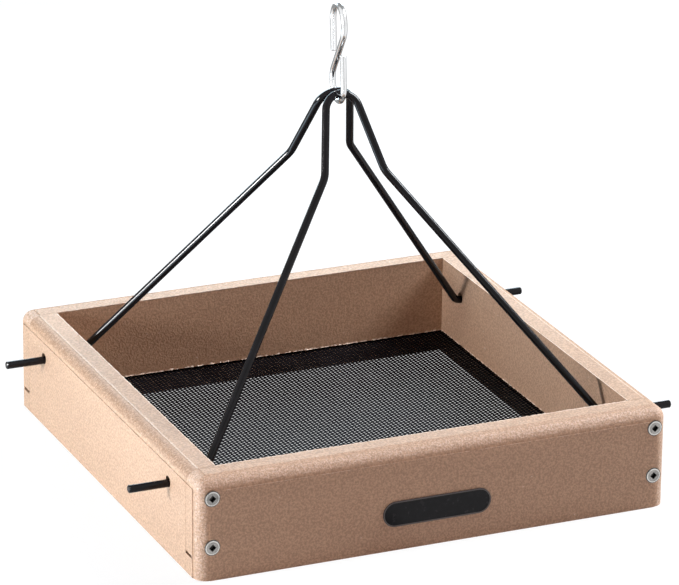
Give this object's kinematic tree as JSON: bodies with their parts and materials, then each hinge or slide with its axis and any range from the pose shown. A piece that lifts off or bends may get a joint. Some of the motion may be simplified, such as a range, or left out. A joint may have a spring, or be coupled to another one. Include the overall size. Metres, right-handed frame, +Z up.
{
  "type": "platform bird feeder",
  "caption": "Square open tray of tan plastic boards with a black perforated floor, hung from bent black rods that meet in an S hook; holds seed for birds.",
  "frame": {"origin": "middle of the tray at the height of the boards' bottom edges", "axes": "+X to the right along the front board that carries the badge, +Y to the rear board, +Z up to the hook"},
  "size_m": [0.355, 0.3062, 0.2916],
  "materials": {
    "board_plastic": "tan recycled plastic lumber, finely grained",
    "rod_coating": "gloss black powder coat",
    "screen_coating": "satin black coated sheet steel",
    "hook_zinc": "bright zinc plate",
    "screw_steel": "stainless steel",
    "badge_black": "bare gloss black plate"
  },
  "bodies": {
    "root": {"front_board": "board_plastic", "rear_board": "board_plastic", "left_board": "board_plastic", "right_board": "board_plastic", "floor_screen": "screen_coating", "front_hanger": "rod_coating", "rear_hanger": "rod_coating", "s_hook": "hook_zinc", "badge": "badge_black", "screw_front_left_lower": "screw_steel", "screw_front_left_upper": "screw_steel", "screw_front_right_lower": "screw_steel", "screw_front_right_upper": "screw_steel", "screw_rear_left_lower": "screw_steel", "screw_rear_left_upper": "screw_steel", "screw_rear_right_lower": "screw_steel", "screw_rear_right_upper": "screw_steel"}
  },
  "joints": []
}
